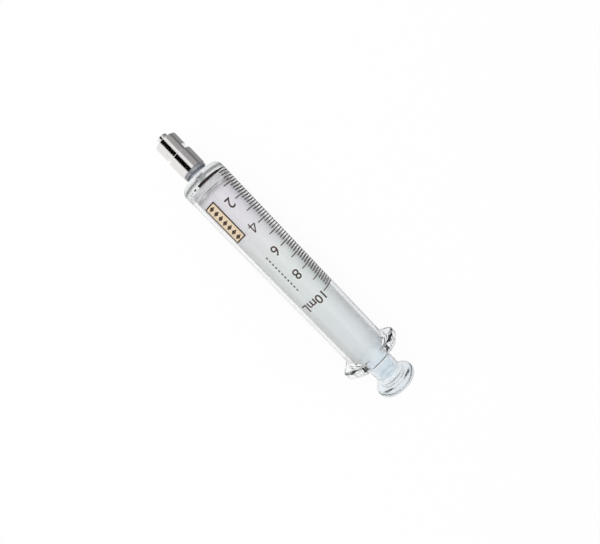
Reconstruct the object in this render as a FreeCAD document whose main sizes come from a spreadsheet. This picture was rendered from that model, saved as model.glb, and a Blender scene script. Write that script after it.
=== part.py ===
import FreeCAD, Part

import os
import Sketcher

# Glass luer lock syringe lying on its side: X runs from the nozzle tip to the thumb disc,
# Y across the finger flange, Z up. Stations along the syringe are measured from the nozzle tip.

os.makedirs("parts", exist_ok=True)
doc = FreeCAD.newDocument("syringe")

DRIVING = {
    "bore_radius": 7.55,
    "barrel_wall": 1.35,
    "tube_length": 90.7,
    "end_glass": 4.2,
    "shoulder_round": 2.4,
    "neck_radius": 3.35,
    "neck_seat": 5.4,
    "neck_show": 2.7,
    "neck_round": 0.9,
    "lumen_radius": 1.0,
    "funnel_length": 1.6,
    "funnel_radius": 2.6,
    "flange_thickness": 3.6,
    "flat_proud": 0.05,
    "flat_half_width": 8.40,
    "wing_length": 4.90,
    "flat_corner_round": 4.0,
    "wing_round": 4.2,
    "flange_edge_round": 1.3,
    "wing_flare": 1.6,
    "piston_clearance": 0.05,
    "end_gap": 0.35,
    "ground_length": 90.55,
    "face_chamfer": 0.4,
    "face_thickness": 1.8,
    "plunger_wall": 1.4,
    "neck_taper": 2.4,
    "stem_length": 8.4,
    "stem_step": 2.05,
    "stem_wall": 1.5,
    "disc_rim": 3.15,
    "disc_thickness": 3.6,
    "disc_round": 1.5,
    "stem_round": 0.9,
    "nozzle_reach": 2.05,
    "nozzle_tip_radius": 1.98,
    "nozzle_taper": 0.03,
    "channel_radius": 0.9,
    "collar_length": 6.75,
    "thread_radius": 3.75,
    "collar_wall": 0.70,
    "collar_web": 2.0,
    "spigot_radius": 2.6,
    "slot_width": 1.8,
    "slot_skin": 0.45,
    "ferrule_length": 7.0,
    "socket_wall": 1.00,
    "ferrule_web": 1.2,
    "cement_gap": 0.45,
    "neck_end_gap": 0.1,
    "bead_length": 1.3,
    "bead_inset": 0.25,
    "bead_round": 0.5,
    "metal_edge": 0.25,
}

# Share of the flats' half-width within which their corner edges lie.
CORNER_SEARCH = 0.9

# Largest depth in millimetres of an edge that lies in one plane across the axis.
FLAT_TOLERANCE = 0.01

# Stations along the syringe and radii that follow from the driving sizes.
DERIVED = {
    "start": "0",
    "barrel_radius": "bore_radius + barrel_wall",
    "flange_half_height": "barrel_radius + flat_proud",
    "wing_reach": "barrel_radius + wing_length",
    "collar_radius": "thread_radius + collar_wall",
    "slot_floor": "spigot_radius + slot_skin",
    "piston_radius": "bore_radius - piston_clearance",
    "stem_radius": "piston_radius - stem_step",
    "disc_radius": "stem_radius + disc_rim",
    "socket_radius": "neck_radius + cement_gap",
    "ferrule_radius": "socket_radius + socket_wall",
    "bead_radius": "ferrule_radius - bead_inset",
    "collar_front": "nozzle_reach",
    "seam": "collar_front + collar_length",
    "spigot_front": "seam - collar_web",
    "socket_floor": "seam + ferrule_web",
    "ferrule_rear": "seam + ferrule_length",
    "neck_front": "socket_floor + neck_end_gap",
    "cement_front": "ferrule_rear - neck_seat",
    "bead_rear": "ferrule_rear + bead_length",
    "shoulder": "ferrule_rear + neck_show",
    "bore_bottom": "shoulder + end_glass",
    "funnel_start": "bore_bottom - funnel_length",
    "flange_front": "shoulder + tube_length",
    "flange_rear": "flange_front + flange_thickness",
    "flare_start": "flange_front - wing_flare",
    "flare_radius": "barrel_radius + wing_flare",
    "plunger_face": "bore_bottom + end_gap",
    "face_corner": "plunger_face + face_chamfer",
    "cavity_front": "plunger_face + face_thickness",
    "ground_end": "plunger_face + ground_length",
    "stem_front": "ground_end + neck_taper",
    "disc_front": "stem_front + stem_length",
    "disc_rear": "disc_front + disc_thickness",
    "cavity_shoulder": "ground_end - plunger_wall",
    "stem_cavity_end": "disc_front - stem_wall",
    "face_radius": "piston_radius - face_chamfer",
    "cavity_radius": "piston_radius - plunger_wall",
    "stem_cavity_radius": "stem_radius - stem_wall",
    "cone_root_radius": "nozzle_tip_radius + nozzle_taper * spigot_front",
    "half_length": "disc_rear / 2",
}

dims = doc.addObject("Spreadsheet::Sheet", "dims")
row = 1
for alias, value in DRIVING.items():
    dims.set("A{}".format(row), alias)
    dims.set("B{}".format(row), str(value))
    dims.setAlias("B{}".format(row), alias)
    row += 1
for alias, formula in DERIVED.items():
    dims.set("A{}".format(row), alias)
    dims.set("B{}".format(row), "=" + formula)
    dims.setAlias("B{}".format(row), alias)
    row += 1
doc.recompute()


def size(alias):
    """Return a size of the sheet in millimetres."""
    return float(dims.get(alias))


def plane_of(body, role):
    """Return one of the body's own origin planes."""
    for feature in body.Origin.OriginFeatures:
        if feature.Role == role:
            return feature
    raise ValueError("no plane " + role)


def new_body(label):
    """Make a body that lies along X with its middle over the origin and its axis at the flange's height."""
    body = doc.addObject("PartDesign::Body", label)
    body.Label = label
    body.setExpression("Placement.Base.x", "-dims.half_length")
    body.setExpression("Placement.Base.z", "dims.flange_half_height")
    return body


def turned_profile(body, name, points):
    """Draw a closed half outline from (station, radius) pairs of sheet names.

    A radius of None puts the point on the axis.
    """
    sketch = body.newObject("Sketcher::SketchObject", name)
    sketch.AttachmentSupport = [(plane_of(body, "XY_Plane"), "")]
    sketch.MapMode = "FlatFace"
    places = []
    for station, radius in points:
        height = 0.0 if radius is None else size(radius)
        places.append(FreeCAD.Vector(size(station), height, 0))
    count = len(places)
    for i in range(count):
        sketch.addGeometry(Part.LineSegment(places[i], places[(i + 1) % count]), False)
    for i in range(count):
        sketch.addConstraint(Sketcher.Constraint("Coincident", i, 2, (i + 1) % count, 1))
    for i, (station, radius) in enumerate(points):
        if station == "start":
            sketch.addConstraint(Sketcher.Constraint("PointOnObject", i, 1, -2))
        else:
            k = sketch.addConstraint(Sketcher.Constraint("DistanceX", -1, 1, i, 1, size(station)))
            sketch.setExpression("Constraints[{}]".format(k), "dims." + station)
        if radius is None:
            sketch.addConstraint(Sketcher.Constraint("PointOnObject", i, 1, -1))
        else:
            k = sketch.addConstraint(Sketcher.Constraint("DistanceY", -1, 1, i, 1, size(radius)))
            sketch.setExpression("Constraints[{}]".format(k), "dims." + radius)
    return sketch


def turn(body, kind, name, points):
    """Add a full turn of a profile about the syringe's axis, as a Revolution or a Groove."""
    sketch = turned_profile(body, name + "_outline", points)
    feature = body.newObject("PartDesign::" + kind, name)
    feature.Profile = sketch
    feature.ReferenceAxis = (sketch, ["H_Axis"])
    feature.Angle = 360
    sketch.Visibility = False
    body.Tip = feature
    doc.recompute()
    return feature


def ring_edges(feature, station, radius):
    """Name the circular edges about the axis at one station and radius."""
    names = []
    for i, edge in enumerate(feature.Shape.Edges):
        if not isinstance(edge.Curve, Part.Circle):
            continue
        centre = edge.Curve.Center
        on_axis = abs(centre.y) < 1e-4 and abs(centre.z) < 1e-4
        if on_axis and abs(centre.x - station) < 1e-3 and abs(edge.Curve.Radius - radius) < 1e-3:
            names.append("Edge{}".format(i + 1))
    return names


def round_edges(body, name, base, edges, radius_name, kind="Fillet"):
    """Round or chamfer the named edges of a feature by a size of the sheet."""
    feature = body.newObject("PartDesign::" + kind, name)
    feature.Base = (base, edges)
    if kind == "Fillet":
        feature.Radius = size(radius_name)
        feature.setExpression("Radius", "dims." + radius_name)
    else:
        feature.Size = size(radius_name)
        feature.setExpression("Size", "dims." + radius_name)
    body.Tip = feature
    doc.recompute()
    return feature


def build_barrel():
    """One piece of glass: tube, thick front end, neck and finger flange with two wings."""
    body = new_body("barrel")
    sketch = body.newObject("Sketcher::SketchObject", "flange_outline")
    sketch.AttachmentSupport = [(plane_of(body, "YZ_Plane"), "")]
    sketch.MapMode = "FlatFace"
    sketch.setExpression("AttachmentOffset.Base.z", "dims.flange_front")
    flat = size("flat_half_width")
    high = size("flange_half_height")
    wing = size("wing_reach")
    corners = [(flat, high), (wing, 0), (flat, -high), (-flat, -high), (-wing, 0), (-flat, high)]
    places = [FreeCAD.Vector(x, y, 0) for x, y in corners]
    count = len(places)
    for i in range(count):
        sketch.addGeometry(Part.LineSegment(places[i], places[(i + 1) % count]), False)
    for i in range(count):
        sketch.addConstraint(Sketcher.Constraint("Coincident", i, 2, (i + 1) % count, 1))
    for first, second, mirror_axis in ((0, 5, -2), (1, 4, -2), (2, 3, -2), (0, 2, -1)):
        sketch.addConstraint(Sketcher.Constraint("Symmetric", first, 1, second, 1, mirror_axis))
    sketch.addConstraint(Sketcher.Constraint("PointOnObject", 1, 1, -1))
    for kind, corner, value, alias in (
        ("DistanceX", 0, flat, "flat_half_width"),
        ("DistanceY", 0, high, "flange_half_height"),
        ("DistanceX", 1, wing, "wing_reach"),
    ):
        k = sketch.addConstraint(Sketcher.Constraint(kind, -1, 1, corner, 1, value))
        sketch.setExpression("Constraints[{}]".format(k), "dims." + alias)
    flange = body.newObject("PartDesign::Pad", "flange")
    flange.Profile = sketch
    flange.Length = size("flange_thickness")
    flange.setExpression("Length", "dims.flange_thickness")
    sketch.Visibility = False
    body.Tip = flange
    doc.recompute()

    def upright_edges(feature, inner, outer):
        """Name the edges along X whose distance across lies between two values."""
        names = []
        for i, edge in enumerate(feature.Shape.Edges):
            first, second = edge.Vertexes[0].Point, edge.Vertexes[-1].Point
            along = abs(first.x - second.x) > 1.0
            if along and inner < abs(first.y) < outer:
                names.append("Edge{}".format(i + 1))
        return names

    middle = (flat + wing) / 2
    tips = round_edges(body, "wing_tips", flange, upright_edges(flange, middle, 2 * wing), "wing_round")
    corners_done = round_edges(body, "flat_corners", tips, upright_edges(tips, CORNER_SEARCH * flat, middle),
                               "flat_corner_round")
    rims = []
    for i, edge in enumerate(corners_done.Shape.Edges):
        box = edge.BoundBox
        if box.XLength < FLAT_TOLERANCE:
            rims.append("Edge{}".format(i + 1))
    round_edges(body, "flange_rims", corners_done, rims, "flange_edge_round")

    turn(body, "Revolution", "tube", [
        ("neck_front", None),
        ("neck_front", "neck_radius"),
        ("shoulder", "neck_radius"),
        ("shoulder", "barrel_radius"),
        ("flare_start", "barrel_radius"),
        ("flange_front", "flare_radius"),
        ("flange_rear", "barrel_radius"),
        ("flange_rear", None),
    ])

    # The flare into the wings stops at the flange's two flats.
    trims = body.newObject("Sketcher::SketchObject", "flat_trims")
    trims.AttachmentSupport = [(plane_of(body, "XZ_Plane"), "")]
    trims.MapMode = "FlatFace"
    for sign in (1, -1):
        first = trims.GeometryCount
        low_x, high_x = size("shoulder") + size("end_glass"), size("flange_rear") + size("wing_flare")
        near, far = sign * high, sign * wing
        box = [(low_x, near), (high_x, near), (high_x, far), (low_x, far)]
        spots = [FreeCAD.Vector(x, z, 0) for x, z in box]
        for i in range(len(spots)):
            trims.addGeometry(Part.LineSegment(spots[i], spots[(i + 1) % len(spots)]), False)
        for i in range(len(spots)):
            trims.addConstraint(Sketcher.Constraint("Coincident", first + i, 2, first + (i + 1) % len(spots), 1))
            trims.addConstraint(Sketcher.Constraint("Horizontal" if i % 2 == 0 else "Vertical", first + i))
        for kind, corner, value, formula in (
            ("DistanceX", 0, low_x, "dims.bore_bottom"),
            ("DistanceX", 2, high_x, "dims.flange_rear + dims.wing_flare"),
            ("DistanceY", 0, near, "{} * dims.flange_half_height".format(sign)),
            ("DistanceY", 2, far, "{} * dims.wing_reach".format(sign)),
        ):
            k = trims.addConstraint(Sketcher.Constraint(kind, -1, 1, first + corner, 1, value))
            trims.setExpression("Constraints[{}]".format(k), formula)
    flats = body.newObject("PartDesign::Pocket", "flats")
    flats.Profile = trims
    flats.Type = 1
    flats.Midplane = True
    trims.Visibility = False
    body.Tip = flats
    doc.recompute()

    bore = turn(body, "Groove", "bore", [
        ("neck_front", None),
        ("neck_front", "lumen_radius"),
        ("funnel_start", "lumen_radius"),
        ("bore_bottom", "funnel_radius"),
        ("bore_bottom", "bore_radius"),
        ("flange_rear", "bore_radius"),
        ("flange_rear", None),
    ])
    shoulder = round_edges(body, "shoulder_corner", bore,
                           ring_edges(bore, size("shoulder"), size("barrel_radius")), "shoulder_round")
    return round_edges(body, "neck_root", shoulder,
                       ring_edges(shoulder, size("shoulder"), size("neck_radius")), "neck_round")


def build_plunger():
    """One piece of blown glass: ground piston, stem and thumb disc around a sealed hollow."""
    body = new_body("plunger")
    turn(body, "Revolution", "outside", [
        ("plunger_face", None),
        ("plunger_face", "face_radius"),
        ("face_corner", "piston_radius"),
        ("ground_end", "piston_radius"),
        ("stem_front", "stem_radius"),
        ("disc_front", "stem_radius"),
        ("disc_front", "disc_radius"),
        ("disc_rear", "disc_radius"),
        ("disc_rear", None),
    ])
    hollow = turn(body, "Groove", "hollow", [
        ("cavity_front", None),
        ("cavity_front", "cavity_radius"),
        ("cavity_shoulder", "cavity_radius"),
        ("stem_front", "stem_cavity_radius"),
        ("stem_cavity_end", "stem_cavity_radius"),
        ("stem_cavity_end", None),
    ])
    rim_edges = ring_edges(hollow, size("disc_front"), size("disc_radius"))
    rim_edges += ring_edges(hollow, size("disc_rear"), size("disc_radius"))
    rim = round_edges(body, "disc_rim", hollow, rim_edges, "disc_round")
    bends = ring_edges(rim, size("ground_end"), size("piston_radius"))
    bends += ring_edges(rim, size("stem_front"), size("stem_radius"))
    bends += ring_edges(rim, size("disc_front"), size("stem_radius"))
    return round_edges(body, "stem_bends", rim, bends, "stem_round")


def build_ferrule():
    """Metal ferrule with the tapered nozzle, the spigot under the collar and the socket for the glass."""
    body = new_body("ferrule")
    turn(body, "Revolution", "ferrule_outside", [
        ("start", None),
        ("start", "nozzle_tip_radius"),
        ("spigot_front", "cone_root_radius"),
        ("spigot_front", "spigot_radius"),
        ("seam", "spigot_radius"),
        ("seam", "ferrule_radius"),
        ("ferrule_rear", "ferrule_radius"),
        ("ferrule_rear", None),
    ])
    inside = turn(body, "Groove", "ferrule_inside", [
        ("start", None),
        ("start", "channel_radius"),
        ("socket_floor", "channel_radius"),
        ("socket_floor", "socket_radius"),
        ("ferrule_rear", "socket_radius"),
        ("ferrule_rear", None),
    ])
    edges = ring_edges(inside, size("start"), size("nozzle_tip_radius"))
    edges += ring_edges(inside, size("seam"), size("ferrule_radius"))
    edges += ring_edges(inside, size("ferrule_rear"), size("ferrule_radius"))
    return round_edges(body, "ferrule_edges", inside, edges, "metal_edge")


def build_collar():
    """Metal locking collar: a ring around the nozzle, with two slots across it against the ferrule."""
    body = new_body("locking_collar")
    ring = turn(body, "Revolution", "ring", [
        ("collar_front", "thread_radius"),
        ("collar_front", "collar_radius"),
        ("seam", "collar_radius"),
        ("seam", "spigot_radius"),
        ("spigot_front", "spigot_radius"),
        ("spigot_front", "thread_radius"),
    ])
    edges = ring_edges(ring, size("collar_front"), size("collar_radius"))
    edges += ring_edges(ring, size("seam"), size("collar_radius"))
    round_edges(body, "collar_edges", ring, edges, "metal_edge")
    sketch = body.newObject("Sketcher::SketchObject", "slot_outline")
    sketch.AttachmentSupport = [(plane_of(body, "XY_Plane"), "")]
    sketch.MapMode = "FlatFace"
    slot_front = size("seam") - size("slot_width")
    past_seam = size("seam") + size("metal_edge")
    past_ring = size("collar_radius") + size("metal_edge")
    for sign in (1, -1):
        first = sketch.GeometryCount
        near, far = sign * size("slot_floor"), sign * past_ring
        spots = [FreeCAD.Vector(x, y, 0) for x, y in
                 ((slot_front, near), (past_seam, near), (past_seam, far), (slot_front, far))]
        for i in range(len(spots)):
            sketch.addGeometry(Part.LineSegment(spots[i], spots[(i + 1) % len(spots)]), False)
        for i in range(len(spots)):
            sketch.addConstraint(Sketcher.Constraint("Coincident", first + i, 2, first + (i + 1) % len(spots), 1))
            sketch.addConstraint(Sketcher.Constraint("Horizontal" if i % 2 == 0 else "Vertical", first + i))
        for kind, corner, value, formula in (
            ("DistanceX", 0, slot_front, "dims.seam - dims.slot_width"),
            ("DistanceX", 2, past_seam, "dims.seam + dims.metal_edge"),
            ("DistanceY", 0, near, "{} * dims.slot_floor".format(sign)),
            ("DistanceY", 2, far, "{} * (dims.collar_radius + dims.metal_edge)".format(sign)),
        ):
            k = sketch.addConstraint(Sketcher.Constraint(kind, -1, 1, first + corner, 1, value))
            sketch.setExpression("Constraints[{}]".format(k), formula)
    slots = body.newObject("PartDesign::Pocket", "slots")
    slots.Profile = sketch
    slots.Type = 1
    slots.Midplane = True
    sketch.Visibility = False
    body.Tip = slots
    doc.recompute()
    return slots


def build_cement():
    """Cement between the glass neck and the ferrule's socket, ending in a bead behind the ferrule."""
    body = new_body("cement")
    ring = turn(body, "Revolution", "cement_ring", [
        ("cement_front", "neck_radius"),
        ("cement_front", "socket_radius"),
        ("ferrule_rear", "socket_radius"),
        ("ferrule_rear", "bead_radius"),
        ("bead_rear", "bead_radius"),
        ("bead_rear", "neck_radius"),
    ])
    return round_edges(body, "bead_edge", ring,
                       ring_edges(ring, size("bead_rear"), size("bead_radius")), "bead_round")


build_barrel()
build_plunger()
build_ferrule()
build_collar()
build_cement()
doc.recompute()

# Every feature has to be in order before anything is written.
for item in doc.Objects:
    if "Invalid" in item.State or "Error" in item.State:
        raise RuntimeError("failed feature: " + item.Label)
bodies = [item for item in doc.Objects if item.TypeId == "PartDesign::Body"]
for body in bodies:
    if body.Shape.isNull() or not body.Shape.isValid():
        raise RuntimeError("bad shape: " + body.Label)
    print(body.Label, "solids", len(body.Shape.Solids), "volume", round(body.Shape.Volume, 2),
          "box", body.Shape.BoundBox)
for body in bodies:
    body.Shape.exportStep("parts/" + body.Label + ".step")
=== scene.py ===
"""Looks of a glass luer lock syringe: clear barrel, ground plunger, plated nozzle and printed scale."""

import logging
import math
from dataclasses import dataclass
from enum import Enum
from typing import Callable, Dict, List, Optional, Sequence, Tuple, Union

import bmesh
import bpy
from mathutils import Euler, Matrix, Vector

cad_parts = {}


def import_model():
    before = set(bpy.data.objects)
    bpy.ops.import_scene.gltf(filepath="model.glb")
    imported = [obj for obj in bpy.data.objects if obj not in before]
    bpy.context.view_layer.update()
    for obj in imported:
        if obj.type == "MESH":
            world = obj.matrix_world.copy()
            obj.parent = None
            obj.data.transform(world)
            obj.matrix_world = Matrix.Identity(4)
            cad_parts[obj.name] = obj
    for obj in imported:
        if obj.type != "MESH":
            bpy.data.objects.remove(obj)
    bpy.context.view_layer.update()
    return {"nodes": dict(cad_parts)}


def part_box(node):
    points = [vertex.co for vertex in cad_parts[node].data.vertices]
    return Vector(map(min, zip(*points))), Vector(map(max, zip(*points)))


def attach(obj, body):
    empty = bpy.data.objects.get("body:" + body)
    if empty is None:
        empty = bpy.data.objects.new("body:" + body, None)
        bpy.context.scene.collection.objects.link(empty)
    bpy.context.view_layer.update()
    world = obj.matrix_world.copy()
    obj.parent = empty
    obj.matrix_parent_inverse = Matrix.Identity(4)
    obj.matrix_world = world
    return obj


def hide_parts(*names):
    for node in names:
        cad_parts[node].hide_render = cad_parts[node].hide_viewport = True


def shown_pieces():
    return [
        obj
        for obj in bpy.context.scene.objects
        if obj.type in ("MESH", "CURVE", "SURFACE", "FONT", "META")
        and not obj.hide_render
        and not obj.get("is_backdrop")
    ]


LOG = logging.getLogger("syringe")
MM = 0.001
GLASS_INDEX = 1.47
# Radius at which a skin is closed on the axis.
POLE = 0.02 * MM
# Inputs and output of a node that mixes colours: the share, both colours and the result.
MIX_SHARE, MIX_FIRST, MIX_SECOND, MIX_RESULT = 0, 6, 7, 2
Mesh = bpy.types.Mesh
Material = bpy.types.Material
Object = bpy.types.Object
Work = bmesh.types.BMesh
Triple = Tuple[float, float, float]
Colour = Triple
Ring = List[Vector]
Outline = List[Tuple[float, float]]


class Body(Enum):
    """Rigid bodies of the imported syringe."""

    BARREL = "barrel_assembly"
    PLUNGER = "plunger_body"


class Socket:
    """A node socket that takes part in Python expressions."""

    def __init__(self, graph: "Graph", socket: bpy.types.NodeSocket) -> None:
        """Keep the output socket that carries the value, and the graph for new Math nodes."""
        self.graph = graph
        self.socket = socket

    def _math(self, operation: str, first: "Value", second: "Value") -> "Socket":
        """Output of a new Math node for one operation on two values."""
        return self.graph.node("ShaderNodeMath", {"operation": operation}, {0: first, 1: second})

    def __add__(self, other: "Value") -> "Socket":
        """Sum of two values."""
        return self._math("ADD", self, other)

    __radd__ = __add__

    def __sub__(self, other: "Value") -> "Socket":
        """Difference of two values."""
        return self._math("SUBTRACT", self, other)

    def __rsub__(self, other: "Value") -> "Socket":
        """Difference with a plain number on the left."""
        return self._math("SUBTRACT", other, self)

    def __mul__(self, other: "Value") -> "Socket":
        """Product of two values."""
        return self._math("MULTIPLY", self, other)

    __rmul__ = __mul__


Value = Union[Socket, float, int, Sequence[float]]
Inputs = Dict[Union[int, str], Value]


class Graph:
    """A node tree that is written from code."""

    def __init__(self, tree: bpy.types.NodeTree) -> None:
        """Empty the tree of a material or a world."""
        self.tree = tree
        self.tree.nodes.clear()

    def node(self, kind: str, settings: Optional[Dict[str, object]] = None,
             values: Optional[Inputs] = None, output: Union[int, str] = 0) -> Socket:
        """Add a node, set it up and link its inputs.

        Args:
            kind: Node type.
            settings: Properties of the node, set first; a ramp's stops are pairs of place and colour.
            values: Values or links of the inputs, by name or number.
            output: Output that is handed back.

        Returns:
            The chosen output.
        """
        made = self.tree.nodes.new(kind)
        for name, setting in (settings or {}).items():
            if name == "stops":
                self._set_stops(made.color_ramp, setting)
            else:
                setattr(made, name, setting)
        for key, value in (values or {}).items():
            if isinstance(value, Socket):
                self.tree.links.new(value.socket, made.inputs[key])
            else:
                made.inputs[key].default_value = value
        return Socket(self, made.outputs[output] if len(made.outputs) else None)

    @staticmethod
    def _set_stops(ramp: bpy.types.ColorRamp, stops: Sequence[Tuple[float, Colour]]) -> None:
        """Give a colour ramp its stops.

        Args:
            ramp: Ramp of the node.
            stops: Place and colour of each stop.
        """
        while len(ramp.elements) < len(stops):
            ramp.elements.new(1.0)
        for element, (place, colour) in zip(ramp.elements, stops):
            element.position = place
            element.color = (*colour, 1.0)

    def place(self) -> Socket:
        """Place of a point in the piece's own coordinates."""
        return self.node("ShaderNodeTexCoord", output="Object")

    def noise(self, place: Socket, scale: float, detail: float) -> Socket:
        """Level of a cloudy pattern at a place."""
        values = {"Vector": place, "Scale": scale, "Detail": detail}
        return self.node("ShaderNodeTexNoise", {}, values, "Fac")

    def mix(self, share: Socket, first: Value, second: Value) -> Socket:
        """Mix of two colours, with the second one's share."""
        values = {MIX_SHARE: share, MIX_FIRST: first, MIX_SECOND: second}
        return self.node("ShaderNodeMix", {"data_type": "RGBA"}, values, MIX_RESULT)

    def bump(self, height: Socket, strength: Value, depth: float) -> Socket:
        """Normal that leans with a height."""
        return self.node("ShaderNodeBump", {}, {"Strength": strength, "Distance": depth, "Height": height})

    def ray(self, kind: str) -> Socket:
        """One for rays of a kind and zero for all others."""
        return self.node("ShaderNodeLightPath", output="Is {} Ray".format(kind))

    def seen(self) -> Socket:
        """Tell the rays that show the background: sight, reflections and refractions.

        Returns:
            One for these rays and zero for all others.
        """
        share = self.ray("Camera")
        for kind in ("Glossy", "Transmission"):
            share = self.node("ShaderNodeMath", {"operation": "MAXIMUM"}, {0: share, 1: self.ray(kind)})
        return share

    def surface(self, shade: Socket) -> None:
        """Close the tree of a material with its shader."""
        self.node("ShaderNodeOutputMaterial", {}, {"Surface": shade})

    def principled(self, values: Inputs) -> None:
        """Close the tree of a material with a principled shader that has these values."""
        self.surface(self.node("ShaderNodeBsdfPrincipled", {}, values))


def new_material(name: str) -> Tuple[Material, Graph]:
    """Make an empty node material.

    Args:
        name: Name of the material.

    Returns:
        The material and its graph.
    """
    material = bpy.data.materials.new(name)
    material.use_nodes = True
    return material, Graph(material.node_tree)


@dataclass(frozen=True)
class ClearGlass:
    """Polished glass with a faint tint, very slightly wavy."""

    name: str
    tint: Colour
    roughness: float = 0.075
    waviness: float = 0.02
    wave_depth: float = 0.2 * MM
    wave_scale: float = 90.0

    def material(self) -> Material:
        """Build the material.

        Returns:
            The polished glass.
        """
        material, graph = new_material(self.name)
        wave = graph.noise(graph.place(), self.wave_scale, 1.0)
        graph.principled({
            "Base Color": (*self.tint, 1.0), "Roughness": self.roughness, "IOR": GLASS_INDEX,
            "Transmission Weight": 1.0, "Normal": graph.bump(wave, self.waviness, self.wave_depth)})
        return material


@dataclass(frozen=True)
class MattGlass:
    """Glass with a slightly uneven polish, for the ground bore and the fired front end."""

    name: str
    tint: Colour
    roughness: float = 0.135
    spread: float = 0.1
    cloud_scale: float = 160.0

    def material(self) -> Material:
        """Build the material.

        Returns:
            The matt glass.
        """
        material, graph = new_material(self.name)
        cloud = graph.noise(graph.place(), self.cloud_scale, 2.0)
        graph.principled({
            "Base Color": (*self.tint, 1.0), "IOR": GLASS_INDEX, "Transmission Weight": 1.0,
            "Roughness": self.roughness - self.spread / 2 + cloud * self.spread})
        return material


@dataclass(frozen=True)
class GroundGlass:
    """Plunger glass: matt where it is ground to fit the bore, clear on the stem and the disc."""

    name: str
    ground_from: float
    ground_to: float
    tip_tint: Colour = (0.99, 0.965, 1.0)
    middle_tint: Colour = (0.98, 1.0, 0.99)
    end_tint: Colour = (0.965, 0.988, 1.0)
    clear_tint: Colour = (0.83, 0.88, 0.915)
    tint_places: Tuple[float, ...] = (0.0, 0.16, 0.42, 0.85)
    roughness: float = 0.16
    polish: float = 0.12
    fade: float = 0.4 * MM
    grain: float = 0.06
    grain_depth: float = 0.02 * MM
    grain_scale: float = 2600.0

    def material(self) -> Material:
        """Build the material, which changes along the plunger.

        Returns:
            The ground and clear glass.
        """
        material, graph = new_material(self.name)
        place = graph.place()
        along = graph.node("ShaderNodeSeparateXYZ", {}, {0: place}, "X")
        share = graph.node("ShaderNodeMapRange", {}, {
            "Value": along, "From Min": self.ground_from, "From Max": self.ground_to}, "Result")
        ground = graph.node("ShaderNodeMapRange", {}, {
            "Value": along, "From Min": self.ground_to - self.fade, "From Max": self.ground_to + self.fade,
            "To Min": 1.0, "To Max": 0.0}, "Result")
        tints = (self.tip_tint, self.tip_tint, self.middle_tint, self.end_tint)
        stops = list(zip(self.tint_places, tints))
        tint = graph.node("ShaderNodeValToRGB", {"stops": stops}, {0: share}, "Color")
        colour = graph.mix(ground, (*self.clear_tint, 1.0), tint)
        grain = graph.noise(place, self.grain_scale, 2.0)
        graph.principled({
            "Base Color": colour, "Roughness": self.polish + ground * self.roughness,
            "IOR": GLASS_INDEX, "Transmission Weight": 1.0,
            "Normal": graph.bump(grain, ground * self.grain, self.grain_depth)})
        return material


@dataclass(frozen=True)
class Plate:
    """Bright plated metal with fine turning marks round the axis."""

    name: str
    colour: Colour
    roughness: float = 0.09
    spotting: float = 0.06
    streaking: float = 0.04
    marks_scale: Triple = (9000.0, 260.0, 260.0)
    spots_scale: float = 700.0
    marks: float = 0.05
    marks_depth: float = 0.03 * MM

    def material(self) -> Material:
        """Build the material.

        Returns:
            The plated metal.
        """
        material, graph = new_material(self.name)
        place = graph.place()
        stretched = graph.node("ShaderNodeMapping", {}, {"Vector": place, "Scale": self.marks_scale})
        marks = graph.noise(stretched, 1.0, 3.0)
        spots = graph.noise(place, self.spots_scale, 3.0)
        graph.principled({
            "Base Color": (*self.colour, 1.0), "Metallic": 1.0,
            "Roughness": self.roughness + spots * self.spotting + marks * self.streaking,
            "Normal": graph.bump(marks, self.marks, self.marks_depth)})
        return material


@dataclass(frozen=True)
class Ink:
    """Fired print on the glass, a little uneven."""

    name: str
    dark: Colour
    light: Colour
    roughness: float = 0.35
    spread: float = 0.2
    scale: float = 900.0
    detail: float = 3.0
    specular: float = 0.3

    def material(self) -> Material:
        """Build the material.

        Returns:
            The uneven surface.
        """
        material, graph = new_material(self.name)
        cloud = graph.noise(graph.place(), self.scale, self.detail)
        graph.principled({
            "Base Color": graph.mix(cloud, (*self.dark, 1.0), (*self.light, 1.0)),
            "Roughness": self.roughness + cloud * self.spread, **self.gloss(graph, cloud)})
        return material

    def gloss(self, graph: Graph, cloud: Socket) -> Inputs:
        """Inputs for the print's gloss, which is low."""
        return {"Specular IOR Level": self.specular}


@dataclass(frozen=True)
class CementFinish(Ink):
    """Glazed grey surface with a slight grain: the real cement, and the painted grey-blue shade layer on
    the neck.
    """

    roughness: float = 0.15
    scale: float = 480.0
    detail: float = 4.0
    coat: float = 0.8
    grain: float = 0.3
    grain_depth: float = 0.1 * MM

    def gloss(self, graph: Graph, cloud: Socket) -> Inputs:
        """Inputs for the cement's gloss: its glaze and its grain."""
        return {"Coat Weight": self.coat, "Normal": graph.bump(cloud, self.grain, self.grain_depth)}


GLASS = ClearGlass("barrel_glass", (0.985, 0.995, 0.99))
BORE = MattGlass("ground_bore", (0.995, 1.0, 1.0))
FIRED_END = MattGlass("fired_end", (0.93, 0.955, 0.96), 0.28)
PLATED = Plate("plated_metal", (0.80, 0.785, 0.78))
BROWN_INK = Ink("brown_print", (0.030, 0.016, 0.012), (0.075, 0.042, 0.028))
AMBER_INK = Ink("amber_print", (0.58, 0.45, 0.30), (0.80, 0.69, 0.52))
# Painted shade: near-black ink for the dark arc that the plunger's front edge shows through the glass.
ARC_SHADE_INK = Ink("painted_arc_shade", (0.012, 0.007, 0.006), (0.030, 0.016, 0.014))
CEMENT = CementFinish("dark_cement", (0.07, 0.075, 0.085), (0.42, 0.44, 0.47))
# Painted shade: an opaque grey-blue finish that stands in for the grey-blue shade seen in the glass neck.
NECK_SHADE = CementFinish("painted_neck_shade", (0.12, 0.14, 0.17), (0.46, 0.51, 0.58))


def link(name: str, data: bpy.types.ID) -> Object:
    """Put a mesh, a curve, a lamp or a camera into the scene.

    Args:
        name: Name of the new object.
        data: What it holds.

    Returns:
        The new object.
    """
    made = bpy.data.objects.new(name, data)
    bpy.context.scene.collection.objects.link(made)
    return made


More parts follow.
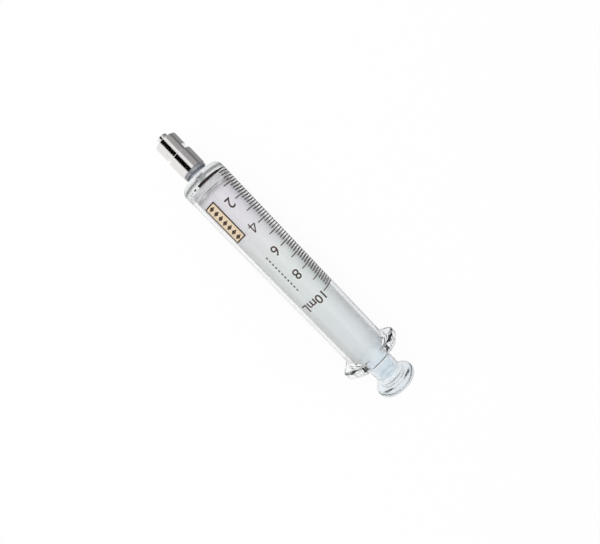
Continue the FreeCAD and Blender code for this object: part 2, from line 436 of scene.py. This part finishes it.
def make_object(name: str, mesh: Mesh, material: Material, smooth: bool = True) -> Object:
    """Put a finished mesh into the scene.

    Args:
        name: Name of the piece.
        mesh: Its mesh, in the row frame.
        material: Its material.
        smooth: Whether its faces are shaded smoothly.

    Returns:
        The new object.
    """
    mesh.materials.append(material)
    for face in mesh.polygons:
        face.use_smooth = smooth
    return link(name, mesh)


def finished(name: str, work: Work) -> Mesh:
    """Turn a mesh under construction into a finished one.

    Args:
        name: Name of the mesh.
        work: Mesh under construction, which is given up.

    Returns:
        The finished mesh.
    """
    mesh = bpy.data.meshes.new(name)
    work.to_mesh(mesh)
    work.free()
    return mesh


def join(work: Work, rings: Sequence[Ring], closed_loop: bool = False) -> List[bmesh.types.BMFace]:
    """Join rings of equal point count into one skin.

    Args:
        work: Mesh under construction.
        rings: Rings in order along the surface.
        closed_loop: Whether the last ring joins the first; otherwise both ends are capped.

    Returns:
        The faces, turned outwards.
    """
    rows = [[work.verts.new(point) for point in ring] for ring in rings]
    count = len(rings[0])
    pairs = list(zip(rows, rows[1:]))
    if closed_loop:
        pairs.append((rows[-1], rows[0]))
    faces = []
    for low, high in pairs:
        for i in range(count):
            j = (i + 1) % count
            faces.append(work.faces.new((low[i], low[j], high[j], high[i])))
    if not closed_loop:
        faces += [work.faces.new(rows[0]), work.faces.new(rows[-1])]
    bmesh.ops.recalc_face_normals(work, faces=faces)
    return faces


def straight(start: float, end: float, radius: float, spans: int) -> Outline:
    """Points of a straight run along the axis, without its first point."""
    return [(start + (end - start) * i / spans, radius) for i in range(1, spans + 1)]


def ease(start: Tuple[float, float], length: float, drop: float, spans: int) -> Outline:
    """Points of a smooth fall of the radius over a length of the axis, without the first point."""
    shares = [i / spans for i in range(1, spans + 1)]
    return [(start[0] + length * share, start[1] - drop * (1 - math.cos(math.pi * share)) / 2)
            for share in shares]


def bend(centre: Tuple[float, float], radius: float, start: float, end: float, steps: int) -> Outline:
    """Points of an arc in the (station, radius) plane, for two angles in degrees from the axis."""
    angles = [math.radians(start + (end - start) * i / steps) for i in range(steps + 1)]
    return [(centre[0] + radius * math.cos(angle), centre[1] + radius * math.sin(angle))
            for angle in angles]


class Axis:
    """The syringe's axis and the places along it."""

    def __init__(self) -> None:
        """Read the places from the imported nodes' boxes."""
        barrel_low, barrel_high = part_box("barrel")
        plunger_low, plunger_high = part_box("plunger")
        ferrule_low, ferrule_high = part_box("ferrule")
        self.height = (ferrule_low[2] + ferrule_high[2]) / 2
        self.neck_front = barrel_low[0]
        self.ferrule_rear = ferrule_high[0]
        self.flange_rear = barrel_high[0]
        self.plunger_face = plunger_low[0]
        self.disc_rear = plunger_high[0]

    def ring(self, station: float, radius: Callable[[float], float], count: int) -> Ring:
        """Points of a closed outline across the axis.

        Args:
            station: Place along X.
            radius: Distance from the axis for an angle from the top, turning to +Y.
            count: Number of points.

        Returns:
            The points in order.
        """
        points = []
        for i in range(count):
            angle = 2 * math.pi * i / count
            reach = radius(angle)
            across, up = reach * math.sin(angle), reach * math.cos(angle)
            points.append(Vector((station, across, self.height + up)))
        return points

    def circles(self, outline: Outline, count: int) -> List[Ring]:
        """Round rings through the points of an outline."""
        return [self.ring(station, lambda angle, reach=radius: reach, count)
                for station, radius in outline]

    def on_tube(self, station: float, angle: float, radius: float) -> Vector:
        """A point on a cylinder about the axis; the angle in degrees runs from the top to +Y."""
        turn = math.radians(angle)
        return Vector((station, radius * math.sin(turn), self.height + radius * math.cos(turn)))


@dataclass
class Barrel:
    """Clear glass barrel: neck, thick rounded end, tube and winged flange."""

    axis: Axis
    bore_radius: float = 7.55 * MM
    tube_radius: float = 8.90 * MM
    lumen_radius: float = 1.0 * MM
    neck_radius: float = 3.35 * MM
    neck_show: float = 2.7 * MM
    neck_round: float = 0.9 * MM
    neck_chamfer: float = 0.2 * MM
    shoulder_round: float = 2.4 * MM
    end_glass: float = 4.2 * MM
    bottom_round: float = 0.3 * MM
    mouth_round: float = 0.35 * MM
    mouth_rim: float = 8.50 * MM
    flange_thickness: float = 3.6 * MM
    flange_edge: float = 1.3 * MM
    flat_half_height: float = 8.95 * MM
    flat_half_width: float = 8.40 * MM
    wing_vertex: float = 13.8 * MM
    wing_round: float = 4.2 * MM
    flat_round: float = 4.0 * MM
    edge_fade: float = 2.0 * MM
    flare: float = 2.0 * MM
    funnel: Tuple[Tuple[float, float], ...] = ((0.0, 3.2), (0.3, 2.4), (1.0, 1.5))
    lumen_depths: Tuple[float, float] = (1.7, 4.0)
    tube_spans: int = 24
    bore_spans: int = 25
    sides: int = 240

    def __post_init__(self) -> None:
        """Work out the shoulder's and the flange's places."""
        self.shoulder = self.axis.ferrule_rear + self.neck_show
        self.bore_bottom = self.shoulder + self.end_glass
        self.flange_front = self.axis.flange_rear - self.flange_thickness

    def flange_reach(self, angle: float) -> float:
        """Distance from the axis to the flange's rounded outline.

        Args:
            angle: Angle from the top, turning to +Y, in radians.

        Returns:
            The distance in metres.
        """
        across, up = abs(math.sin(angle)), abs(math.cos(angle))
        rise, run = self.flat_half_height, self.wing_vertex - self.flat_half_width
        length = math.hypot(rise, run)
        slant_y, slant_z = rise / length, run / length
        reach = min(self.flat_half_height / max(up, 1e-6),
                    self.wing_vertex * slant_y / (across * slant_y + up * slant_z))
        tip_centre = self.wing_vertex - self.wing_round / slant_y
        tilt = math.atan2(slant_z, slant_y)
        corner_y = self.flat_half_width - self.flat_round * math.tan((math.pi / 2 - tilt) / 2)
        corner_z = self.flat_half_height - self.flat_round
        slant = slant_z / slant_y
        for centre_y, centre_z, radius, low, high in (
            (tip_centre, 0.0, self.wing_round, -math.inf, slant),
            (corner_y, corner_z, self.flat_round, slant, math.inf),
        ):
            along = across * centre_y + up * centre_z
            beside = centre_y ** 2 + centre_z ** 2 - along ** 2
            if beside >= radius ** 2:
                continue
            candidate = along + math.sqrt(radius ** 2 - beside)
            hit_y, hit_z = candidate * across - centre_y, candidate * up - centre_z
            slope = hit_z / max(hit_y, 1e-9)
            if low <= slope <= high and hit_y >= 0:
                reach = min(reach, candidate)
        return reach

    def wing_ring(self, station: float, share: float, inset: float) -> Ring:
        """Ring between the tube's circle and the flange's outline.

        Args:
            station: Place along X.
            share: Share of the way from the tube to the outline.
            inset: Distance by which the outline is drawn in.

        Returns:
            The points in order.
        """
        def reach(angle: float) -> float:
            """Distance from the axis on this ring."""
            proud = max(self.flange_reach(angle) - self.tube_radius, 0.0)
            return self.tube_radius + max(proud * share - inset * min(1.0, proud / self.edge_fade), 0.0)
        return self.axis.ring(station, reach, self.sides)

    def front_outline(self) -> Outline:
        """Outline of the neck and the thick rounded end.

        Returns:
            The points from the neck's front to the tube.
        """
        front, chamfer = self.axis.neck_front, self.neck_chamfer
        root, big = self.neck_round, self.shoulder_round
        outline = [(front, self.lumen_radius), (front, self.neck_radius - chamfer),
                   (front + chamfer, self.neck_radius)]
        outline += bend((self.shoulder - root, self.neck_radius + root), root, -90, 0, 8)
        return outline + bend((self.shoulder + big, self.tube_radius - big), big, 180, 90, 14)

    def flange_rings(self, front: float) -> List[Ring]:
        """Rings of the flange: its flare, its front face and both rounded edges.

        Args:
            front: Station where the flare starts.

        Returns:
            The rings in order.
        """
        edge, flare, steps, face_steps = self.flange_edge, self.flare, 8, 4
        full_wing = self.wing_vertex - self.tube_radius
        turns = [math.radians(90 * i / steps) for i in range(steps + 1)]
        bends = [(math.sin(turn), 1 - math.cos(turn)) for turn in turns]
        spots = [(front + flare * rise, flare * fall / full_wing, 0.0) for rise, fall in bends[1:]]
        for i in range(1, face_steps):
            share = flare / full_wing + (1 - flare / full_wing) * i / face_steps
            spots.append((self.flange_front, share * (1 - edge / full_wing), 0.0))
        spots += [(self.flange_front + edge * fall, 1.0, edge * (1 - rise)) for rise, fall in bends]
        spots += [(self.axis.flange_rear - edge * (1 - rise), 1.0, edge * fall) for rise, fall in bends]
        return [self.wing_ring(*spot) for spot in spots]

    def build(self) -> Mesh:
        """Build the whole skin of the glass, outside and inside.

        Returns:
            The closed mesh.
        """
        outline = self.front_outline()
        self.last_end_ring = len(outline)
        tube_end = self.flange_front - self.flare
        outline += straight(outline[-1][0], tube_end, self.tube_radius, self.tube_spans)
        rings = self.axis.circles(outline, self.sides) + self.flange_rings(tube_end)
        rear, mouth = self.axis.flange_rear, self.mouth_round
        lip = [(rear, self.mouth_rim)] + bend((rear - mouth, self.bore_radius + mouth), mouth, 0, -90, 5)
        rings += self.axis.circles(lip, self.sides)
        self.first_bore_ring = len(rings)
        low, bottom = self.bore_bottom, self.bottom_round
        bore = straight(rear - mouth, low + bottom, self.bore_radius, self.bore_spans)[:-1]
        bore += bend((low + bottom, self.bore_radius - bottom), bottom, 90, 180, 8)
        rings += self.axis.circles(bore, self.sides)
        self.last_bore_ring = len(rings) - 1
        funnel = [(low - depth * MM, radius * MM) for depth, radius in self.funnel]
        funnel += [(low - depth * MM, self.lumen_radius) for depth in self.lumen_depths]
        rings += self.axis.circles(funnel, self.sides)
        work = bmesh.new()
        join(work, rings, closed_loop=True)
        return finished("barrel_skin", work)

    def dress(self) -> None:
        """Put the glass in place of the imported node, with its bore and its front end less polished."""
        piece = make_object("barrel_glass_body", self.build(), GLASS.material())
        for finish in (BORE, FIRED_END):
            piece.data.materials.append(finish.material())
        for face in piece.data.polygons:
            row = face.index // self.sides
            if self.first_bore_ring <= row < self.last_bore_ring:
                face.material_index = 1
            elif row < self.last_end_ring:
                face.material_index = 2
        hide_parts("barrel")
        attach(piece, Body.BARREL.value)


@dataclass
class Plunger:
    """Blown glass plunger: ground piston, clear stem and thumb disc, hollow inside."""

    axis: Axis
    piston_radius: float = 7.50 * MM
    wall: float = 1.4 * MM
    front_wall: float = 1.8 * MM
    nose_round: float = 0.45 * MM
    nose_flat: float = 3.0 * MM
    hollow_round: float = 2.2 * MM
    stem_radius: float = 5.45 * MM
    stem_wall: float = 1.5 * MM
    stem_round: float = 0.9 * MM
    ground_length: float = 90.55 * MM
    finish_margin: float = 2.9 * MM
    taper: float = 2.4 * MM
    taper_lead: float = 0.8 * MM
    hollow_lead: float = 1.2 * MM
    hollow_trail: float = 0.6 * MM
    dome_share: float = 0.6
    stem_length: float = 8.4 * MM
    disc_radius: float = 8.6 * MM
    disc_round: float = 1.55 * MM
    disc_flat: float = 4.0 * MM
    sides: int = 200

    def __post_init__(self) -> None:
        """Work out the places along the plunger."""
        self.ground_end = self.axis.plunger_face + self.ground_length
        self.disc_front = self.ground_end + self.taper + self.stem_length

    def outside(self) -> Outline:
        """Outline of the outer surface.

        Returns:
            The points from the middle of the face to the middle of the disc.
        """
        face, nose = self.axis.plunger_face, self.nose_round
        points = [(face, POLE), (face, self.nose_flat)]
        points += bend((face + nose, self.piston_radius - nose), nose, 180, 90, 5)
        last = self.ground_end - self.taper_lead
        points += straight(points[-1][0], last, self.piston_radius, 30)
        points += ease((last, self.piston_radius), self.taper + 2 * self.taper_lead,
                       self.piston_radius - self.stem_radius, 14)
        root, rim = self.stem_round, self.disc_round
        points += bend((self.disc_front - root, self.stem_radius + root), root, -90, 0, 6)
        points += bend((self.disc_front + rim, self.disc_radius - rim), rim, 180, 90, 10)
        points += bend((self.axis.disc_rear - rim, self.disc_radius - rim), rim, 90, 0, 10)
        return points + [(self.axis.disc_rear, self.disc_flat), (self.axis.disc_rear, POLE)]

    def inside(self) -> Outline:
        """Outline of the sealed hollow.

        Returns:
            The points from the middle of its front to the middle of its domed end.
        """
        front, radius = self.axis.plunger_face + self.front_wall, self.piston_radius - self.wall
        corner, thin = self.hollow_round, self.stem_radius - self.stem_wall
        points = [(front, POLE)] + bend((front + corner, radius - corner), corner, 180, 90, 8)
        last = self.ground_end - self.hollow_lead
        points += straight(points[-1][0], last, radius, 20)
        points += ease((last, radius), self.taper + self.hollow_trail, radius - thin, 12)
        dome_centre = self.disc_front - self.stem_wall - self.dome_share * thin
        return points + bend((dome_centre, 0.0), thin, 90, 1, 10)

    def build(self) -> Mesh:
        """Build the outer skin and the hollow's skin as one mesh.

        Returns:
            The closed mesh.
        """
        work = bmesh.new()
        join(work, self.axis.circles(self.outside(), self.sides))
        hollow = join(work, self.axis.circles(self.inside(), self.sides))
        bmesh.ops.reverse_faces(work, faces=hollow)
        return finished("plunger_skin", work)

    def dress(self) -> None:
        """Put the plunger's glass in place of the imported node."""
        finish = GroundGlass("ground_glass", self.axis.plunger_face, self.ground_end - self.finish_margin)
        piece = make_object("plunger_glass_body", self.build(), finish.material())
        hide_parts("plunger")
        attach(piece, Body.PLUNGER.value)


@dataclass
class Print:
    """Printed scale, numbers and panel on the barrel, and a painted dark arc of shade at the scale's
    start.
    """

    axis: Axis
    barrel: Barrel
    face_gap: float = 0.3 * MM
    lift: float = 0.01 * MM
    pitch: float = 5.5965 * MM
    capacity: int = 10
    parts_per_millilitre: int = 5
    line: float = 0.37 * MM
    long_inner: float = 19.5
    short_inner: float = 35.0
    outer_angle: float = 80.0
    arc_step: float = 3.0
    panel_from: float = 6.8 * MM
    panel_to: float = 22.7 * MM
    panel_top: float = -21.0
    panel_bottom: float = -54.0
    panel_line: float = 0.50 * MM
    lozenges: int = 7
    dashes_from: float = 33.5 * MM
    dashes_to: float = 49.0 * MM
    dashes: int = 11

    def __post_init__(self) -> None:
        """Find the zero line, which lies where the plunger's face stops, and mix the inks and the painted
        arc shade.
        """
        self.zero = self.barrel.bore_bottom - self.face_gap
        self.radius = self.barrel.tube_radius + self.lift
        self.brown = BROWN_INK.material()
        self.amber = AMBER_INK.material()
        # Material of the painted arc shade.
        self.edge = ARC_SHADE_INK.material()

    def spot(self, station: float, angle: float, sunk: float = 0.0) -> Vector:
        """A point on the printed surface, for its station and its angle in degrees."""
        return self.axis.on_tube(station, angle, self.radius - sunk)

    @staticmethod
    def strip(work: Work, pairs: Sequence[Sequence[Vector]]) -> None:
        """Add a strip of faces through pairs of points to a mesh.

        Args:
            work: Mesh under construction.
            pairs: Both edges' points, pair by pair.
        """
        rows = [[work.verts.new(point) for point in pair] for pair in pairs]
        for before, after in zip(rows, rows[1:]):
            work.faces.new((before[0], before[1], after[1], after[0]))

    def patch(self, work: Work, low: float, high: float, start: float, end: float,
              sunk: float = 0.0) -> None:
        """Add a curved rectangle to a mesh.

        Args:
            work: Mesh under construction.
            low: First station.
            high: Last station.
            start: First angle in degrees.
            end: Last angle in degrees.
            sunk: Depth below the printed surface.
        """
        spans = max(1, math.ceil(abs(end - start) / self.arc_step))
        angles = [start + (end - start) * i / spans for i in range(spans + 1)]
        self.strip(work, [[self.spot(station, angle, sunk) for station in (low, high)]
                          for angle in angles])

    def finish_film(self, name: str, work: Work, ink: Material, thickness: float = 0.03 * MM) -> None:
        """Give a film its thickness and put it on the barrel.

        Args:
            name: Name of the piece.
            work: Open film lying on the glass.
            ink: Material of the print.
            thickness: Thickness of the film.
        """
        def outwards(point: Vector) -> Vector:
            """Way from the axis to a point."""
            return Vector((0.0, point.y, point.z - self.axis.height))

        bmesh.ops.recalc_face_normals(work, faces=work.faces)
        for face in work.faces:
            if face.normal.dot(outwards(face.calc_center_median())) < 0:
                face.normal_flip()
        made = bmesh.ops.extrude_face_region(work, geom=list(work.faces), use_keep_orig=True)
        for vert in [item for item in made["geom"] if isinstance(item, bmesh.types.BMVert)]:
            vert.co += outwards(vert.co).normalized() * thickness
        bmesh.ops.recalc_face_normals(work, faces=work.faces)
        piece = make_object(name, finished(name, work), ink, smooth=False)
        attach(piece, Body.BARREL.value)

    def add_ticks(self) -> None:
        """Print the graduation lines."""
        work = bmesh.new()
        parts, half = self.parts_per_millilitre, self.line / 2
        for i in range(self.capacity * parts + 1):
            station = self.zero + self.pitch * i / parts
            inner = self.short_inner if i % parts else self.long_inner
            self.patch(work, station - half, station + half, inner, self.outer_angle)
        self.finish_film("scale_lines", work, self.brown)

    def letters(self, name: str, text: str, height: float, stretch: float, station: float, angle: float,
                bold: float) -> None:
        """Print characters whose tops point towards the plunger.

        Args:
            name: Name of the piece.
            text: Characters to print.
            height: Height of a figure.
            stretch: Width factor.
            station: Place of their middle along the barrel.
            angle: Angle of their middle.
            bold: Extra stroke width, in metres.
        """
        curve = bpy.data.curves.new(name, "FONT")
        curve.body = text
        curve.size = 1.0
        curve.align_x = "CENTER"
        cap_height = 0.7
        curve.offset = bold / height * cap_height
        holder = link(name, curve)
        bpy.context.view_layer.update()
        flat = bpy.data.meshes.new_from_object(holder.evaluated_get(bpy.context.evaluated_depsgraph_get()))
        bpy.data.objects.remove(holder)
        work = bmesh.new()
        work.from_mesh(flat)
        bpy.data.meshes.remove(flat)
        ups, acrosses = [vert.co.y for vert in work.verts], [vert.co.x for vert in work.verts]
        bottom, top, left, right = min(ups), max(ups), min(acrosses), max(acrosses)
        scale = height / (top - bottom)
        slice_width = 0.4 * MM
        steps = max(2, math.ceil((right - left) * scale * stretch / slice_width))
        for i in range(1, steps):
            cut = left + (right - left) * i / steps
            bmesh.ops.bisect_plane(work, geom=list(work.verts) + list(work.edges) + list(work.faces),
                                   plane_co=(cut, 0, 0), plane_no=(1, 0, 0))
        for vert in work.verts:
            up = (vert.co.y - (top + bottom) / 2) * scale
            across = (vert.co.x - (left + right) / 2) * scale * stretch
            turn = math.degrees(across / self.radius)
            vert.co = self.spot(station + up, angle - turn)
        self.finish_film(name, work, self.brown)

    def add_four(self) -> None:
        """Print the open four from straight strokes, its top towards the plunger."""
        stem, left, right = 0.55 * MM, -1.35 * MM, 1.30 * MM
        base, half = -0.80 * MM, 1.90 * MM
        station, angle, width, spans = self.zero + self.pitch * 4, 2.7, 0.42 * MM, 8
        work = bmesh.new()
        for across, up, far_across, far_up in ((stem, -half, stem, half), (stem, half, left, base),
                                               (left, base, right, base)):
            way = Vector((far_across - across, far_up - up, 0.0))
            side = Vector((-way.y, way.x, 0.0)).normalized() * width / 2
            places = [Vector((across, up, 0.0)) + way * i / spans for i in range(spans + 1)]
            self.strip(work, [[self.spot(station + end.y, angle - math.degrees(end.x / self.radius))
                               for end in (place - side, place + side)] for place in places])
        self.finish_film("figure_4", work, self.brown)

    def add_figures(self) -> None:
        """Print the numbers beside the scale."""
        for value in (2, 6, 8):
            self.letters("figure_{}".format(value), str(value), height=3.9 * MM, stretch=0.95,
                         station=self.zero + self.pitch * value, angle=4.5 - 0.45 * value, bold=0.03 * MM)
        self.add_four()
        full = self.zero + self.pitch * self.capacity
        self.letters("figure_10mL", "10mL", height=3.5 * MM, stretch=1.0, station=full + 0.8 * MM,
                     angle=-17.5, bold=0.06 * MM)

    def lozenge(self, work: Work, station: float, angle: float, half_length: float,
                half_angle: float) -> None:
        """Add a filled lozenge to a mesh.

        Args:
            work: Mesh under construction.
            station: Place of its middle.
            angle: Angle of its middle.
            half_length: Half of its length along the barrel.
            half_angle: Half of the angle that it covers.
        """
        heart = work.verts.new(self.spot(station, angle))
        tips = ((1, 0), (0, 1), (-1, 0), (0, -1), (1, 0))
        loop = []
        for (along, across), (next_along, next_across) in zip(tips, tips[1:]):
            for part in (0.0, 0.5):
                forward = along * (1 - part) + next_along * part
                beside = across * (1 - part) + next_across * part
                loop.append(work.verts.new(self.spot(
                    station + forward * half_length, angle + beside * half_angle)))
        for i in range(len(loop)):
            work.faces.new((heart, loop[i], loop[(i + 1) % len(loop)]))

    def add_panel(self) -> None:
        """Print a plain framed panel with a row of lozenges on a pale ground."""
        low, high = self.zero + self.panel_from, self.zero + self.panel_to
        top, bottom, line = self.panel_top, self.panel_bottom, self.panel_line
        turn = math.degrees(line / self.radius)
        work = bmesh.new()
        self.patch(work, low, high, top, top - turn)
        self.patch(work, low, high, bottom + turn, bottom)
        self.patch(work, low, low + line, top - turn, bottom + turn)
        self.patch(work, high - line, high, top - turn, bottom + turn)
        span = (high - low - 2 * line) / self.lozenges
        half_length, half_angle = span * 0.36, (top - bottom) / 2 - 2.2 * turn
        for i in range(self.lozenges):
            station = low + line + span * (i + 0.5)
            self.lozenge(work, station, (top + bottom) / 2, half_length, half_angle)
        self.finish_film("panel_lines", work, self.brown)
        work = bmesh.new()
        margin, sunk = 0.1 * MM, 0.006 * MM
        self.patch(work, low + margin, high - margin, top - turn / 4, bottom + turn / 4, sunk)
        self.finish_film("panel_ground", work, self.amber, thickness=0.01 * MM)

    def add_dashes(self) -> None:
        """Print a dashed line after the panel."""
        work = bmesh.new()
        first, last = self.zero + self.dashes_from, self.zero + self.dashes_to
        half, top, bottom = 0.42 * MM, -22.5, -25.5
        for i in range(self.dashes):
            station = first + (last - first) * i / (self.dashes - 1)
            self.patch(work, station - half, station + half, top, bottom)
        self.finish_film("dashed_line", work, self.brown)

    def add_base_line(self) -> None:
        """Lay the painted shade at the scale's start: a thick dark arc where the plunger's front edge
        shows dark through the glass, thinning out at both ends.
        """
        work = bmesh.new()
        face, wide = self.zero - 0.30 * MM, 0.95 * MM
        start, full, fade, steps = -22.0, 30.0, 30.0, 8
        front_thinning, rear_thinning = 0.4, 0.5
        self.patch(work, face, face + wide, start, full)
        for i in range(steps):
            share = (i + 0.5) / steps
            self.patch(work, face + wide * share * front_thinning, face + wide * (1 - share * rear_thinning),
                       full + fade * i / steps, full + fade * (i + 1) / steps)
        # Broken bits of the painted arc shade further round.
        for low, high, thin in ((-37.0, -30.0, 0.65), (-46.5, -44.0, 0.5), (-54.5, -52.0, 0.55)):
            self.patch(work, face + 0.1 * MM, face + wide * thin, low, high)
        self.finish_film("painted_arc_shade_film", work, self.edge)

    def dress(self) -> None:
        """Print everything on the glass and lay the painted arc shade."""
        self.add_ticks()
        self.add_figures()
        self.add_panel()
        self.add_dashes()
        self.add_base_line()


@dataclass
class LockingEnd:
    """Plated ferrule, nozzle and collar, with the collar's thread, the cement, and a painted grey-blue
    shade layer round the neck.
    """

    axis: Axis
    thread_radius: float = 3.75 * MM
    thread_root: float = 0.05 * MM
    thread_front: float = 0.35 * MM
    thread_rear: float = 2.4 * MM
    ridge_height: float = 0.30 * MM
    ridge_width: float = 0.55 * MM
    lead: float = 5.0 * MM
    starts: int = 2
    # Stations and radii, in millimetres, of the outline of the painted shade layer round the neck.
    fillet_outline: Tuple[Tuple[float, float], ...] = (
        (1.35, 3.36), (1.35, 3.95), (1.70, 3.78), (2.10, 3.85), (2.45, 4.15), (2.68, 4.75),
        (2.69, 4.28), (2.28, 3.72), (1.83, 3.42))
    sides: int = 72

    def thread(self) -> Mesh:
        """Build the two-start thread inside the collar.

        Returns:
            The mesh of both ridges.
        """
        low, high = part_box("locking_collar")
        begin, end = low[0] + self.thread_front, high[0] - self.thread_rear
        turns = (end - begin) / self.lead
        count = max(8, int(self.sides * turns))
        outer, crest = self.thread_radius + self.thread_root, self.thread_radius - self.ridge_height
        half, tip = self.ridge_width / 2, self.ridge_width / 5
        section = ((-half, outer), (-tip, crest), (tip, crest), (half, outer))
        work = bmesh.new()
        for start in range(self.starts):
            rings = []
            for i in range(count + 1):
                share = i / count
                angle = math.degrees(2 * math.pi * (turns * share + start / self.starts))
                station = begin + (end - begin) * share
                rings.append([self.axis.on_tube(station + shift, angle, radius)
                              for shift, radius in section])
            join(work, rings)
        return finished("collar_thread", work)

    def fillet(self) -> Mesh:
        """Build the painted shade layer round the neck, from the ferrule's ring to the shoulder: an opaque
        grey-blue skin that stands in for the shade seen in the glass.

        Returns:
            The mesh of the painted shade layer.
        """
        rear = self.axis.ferrule_rear
        outline = [(rear + along * MM, radius * MM) for along, radius in self.fillet_outline]
        work = bmesh.new()
        join(work, self.axis.circles(outline, self.sides), closed_loop=True)
        return finished("painted_neck_shade_layer", work)

    def dress(self, nodes: Dict[str, Object]) -> None:
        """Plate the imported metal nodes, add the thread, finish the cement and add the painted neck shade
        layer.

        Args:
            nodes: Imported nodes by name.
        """
        plated = PLATED.material()
        for name in ("ferrule", "locking_collar"):
            paint(nodes[name], plated)
        paint(nodes["cement"], CEMENT.material())
        thread = make_object("collar_thread", self.thread(), plated, smooth=False)
        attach(thread, Body.BARREL.value)
        # Painted shade: this grey-blue layer stands in for the shade seen in the glass neck.
        fillet = make_object("painted_neck_shade_layer", self.fillet(), NECK_SHADE.material())
        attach(fillet, Body.BARREL.value)


def paint(node: Object, material: Material) -> None:
    """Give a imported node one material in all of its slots."""
    for holder in node.material_slots:
        holder.material = material


@dataclass
class Studio:
    """White sweep, soft light, reflectors and the camera.

    A card has a name, an angle from straight up towards +Y, the angle it covers, and its brightness.
    """

    camera_place: Triple = (-0.01521, -0.01010, 0.14882)
    camera_turn: Triple = (-2.315, -9.198, 45.931)
    lens: float = 22.5
    sensor: float = 36.0
    plain_level: float = 0.75
    through_level: float = 0.96
    floor_size: float = 3.0
    floor_drop: float = 0.2 * MM
    floor_show: float = 0.93
    floor_grey: Colour = (0.9, 0.9, 0.9)
    card_distance: float = 0.45
    card_length: float = 1.2
    cards: Tuple[Tuple[str, float, float, float], ...] = (
        ("black_card", -27.0, 42.0, 0.0), ("grey_card", 43.0, 46.0, 0.42), ("side_card", 78.0, 24.0, 0.20))
    lamp_place: Triple = (-0.2, -0.25, 0.6)
    lamp_size: float = 0.5
    lamp_power: float = 2.0
    white: Colour = (1.0, 1.0, 1.0)

    def add_world(self) -> None:
        """White surroundings for sight and reflections, a plain level for the rest."""
        world = bpy.data.worlds.new("surroundings")
        world.use_nodes = True
        bpy.context.scene.world = world
        graph = Graph(world.node_tree)
        shade = graph.node("ShaderNodeBackground", {}, {
            "Color": (*self.white, 1.0),
            "Strength": self.plain_level + graph.seen() * (1 - self.plain_level)})
        graph.node("ShaderNodeOutputWorld", {}, {"Surface": shade})

    def add_floor(self) -> None:
        """A white floor that keeps a faint shadow."""
        work = bmesh.new()
        bmesh.ops.create_grid(work, x_segments=2, y_segments=2, size=self.floor_size)
        material, graph = new_material("white_floor")
        diffuse = graph.node("ShaderNodeBsdfDiffuse", {}, {"Color": (*self.floor_grey, 1.0)})
        light = graph.node("ShaderNodeEmission", {}, {"Color": (*self.white, 1.0), "Strength": 1.0})
        seen = graph.seen() * self.floor_show
        shade = graph.node("ShaderNodeMixShader", {}, {0: seen, 1: diffuse, 2: light})
        graph.surface(shade)
        floor = make_object("floor", finished("floor", work), material)
        floor.location.z = -self.floor_drop
        floor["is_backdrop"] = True

    def hang(self, name: str, corners: Sequence[Vector], tint: Colour, level: float) -> None:
        """Hang a card that only reflections and refractions see, paler for refractions.

        Args:
            name: Name of the card.
            corners: Its four corners.
            tint: Its colour.
            level: Its brightness in a reflection; a black card isn't seen through glass.
        """
        mesh = bpy.data.meshes.new(name)
        mesh.from_pydata(corners, [], [(0, 1, 2, 3)])
        material, graph = new_material(name)
        strength = level + graph.ray("Transmission") * (self.through_level - level)
        shade = graph.node("ShaderNodeEmission", {}, {"Color": (*tint, 1.0), "Strength": strength})
        graph.surface(shade)
        card = make_object(name, mesh, material)
        card.visible_camera = card.visible_diffuse = card.visible_shadow = False
        card.visible_transmission = level > 0.0
        card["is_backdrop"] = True

    def add_cards(self) -> None:
        """Hang a black card and two grey ones over the syringe."""
        along = Vector((self.card_length / 2, 0.0, 0.0))
        for name, tilt, spread, level in self.cards:
            half = self.card_distance * math.tan(math.radians(spread / 2))
            turn = math.radians(tilt)
            middle = Vector((0.0, math.sin(turn), math.cos(turn))) * self.card_distance
            across = Vector((0.0, math.cos(turn), -math.sin(turn))) * half
            corners = [middle + along * i + across * j for i, j in ((-1, -1), (1, -1), (1, 1), (-1, 1))]
            self.hang(name, corners, self.white, level)

    def add_floor_card(self) -> None:
        """Lay a grey card on the floor beyond the syringe."""
        half, near, far, lift = self.card_length / 2, 7 * MM, 0.45, 0.02 * MM
        cool, level = (0.97, 0.98, 1.0), 0.34
        corners = [Vector((along, across, lift)) for along, across in
                   ((-half, near), (half, near), (half, far), (-half, far))]
        self.hang("floor_card", corners, cool, level)

    def add_lamp(self) -> None:
        """Add the main lamp, a soft square one that points at the syringe."""
        data = bpy.data.lights.new("main_lamp", "AREA")
        data.size = self.lamp_size
        data.energy = self.lamp_power
        lamp = link("main_lamp", data)
        lamp.location = self.lamp_place
        lamp.rotation_euler = Vector(self.lamp_place).to_track_quat("Z", "Y").to_euler()
        lamp.visible_camera = lamp.visible_glossy = lamp.visible_transmission = False

    def add_camera(self) -> None:
        """Set up the camera that looks down on the syringe."""
        data = bpy.data.cameras.new("camera")
        data.lens = self.lens
        data.sensor_width = self.sensor
        data.clip_start = 5 * MM
        camera = link("camera", data)
        camera.location = self.camera_place
        camera.rotation_euler = Euler([math.radians(turn) for turn in self.camera_turn])
        bpy.context.scene.camera = camera

    def build(self) -> None:
        """Build the whole studio."""
        self.add_world()
        self.add_floor()
        self.add_cards()
        self.add_floor_card()
        self.add_lamp()
        self.add_camera()
        bpy.context.scene.view_settings.view_transform = "Standard"


def main() -> None:
    """Build and dress the syringe and its studio."""
    logging.basicConfig(level=logging.INFO)
    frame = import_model()
    axis = Axis()
    barrel = Barrel(axis)
    barrel.dress()
    Plunger(axis).dress()
    Print(axis, barrel).dress()
    LockingEnd(axis).dress(frame["nodes"])
    Studio().build()
    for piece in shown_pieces():
        LOG.info("piece %s", piece.name)


if __name__ == "__main__":
    main()
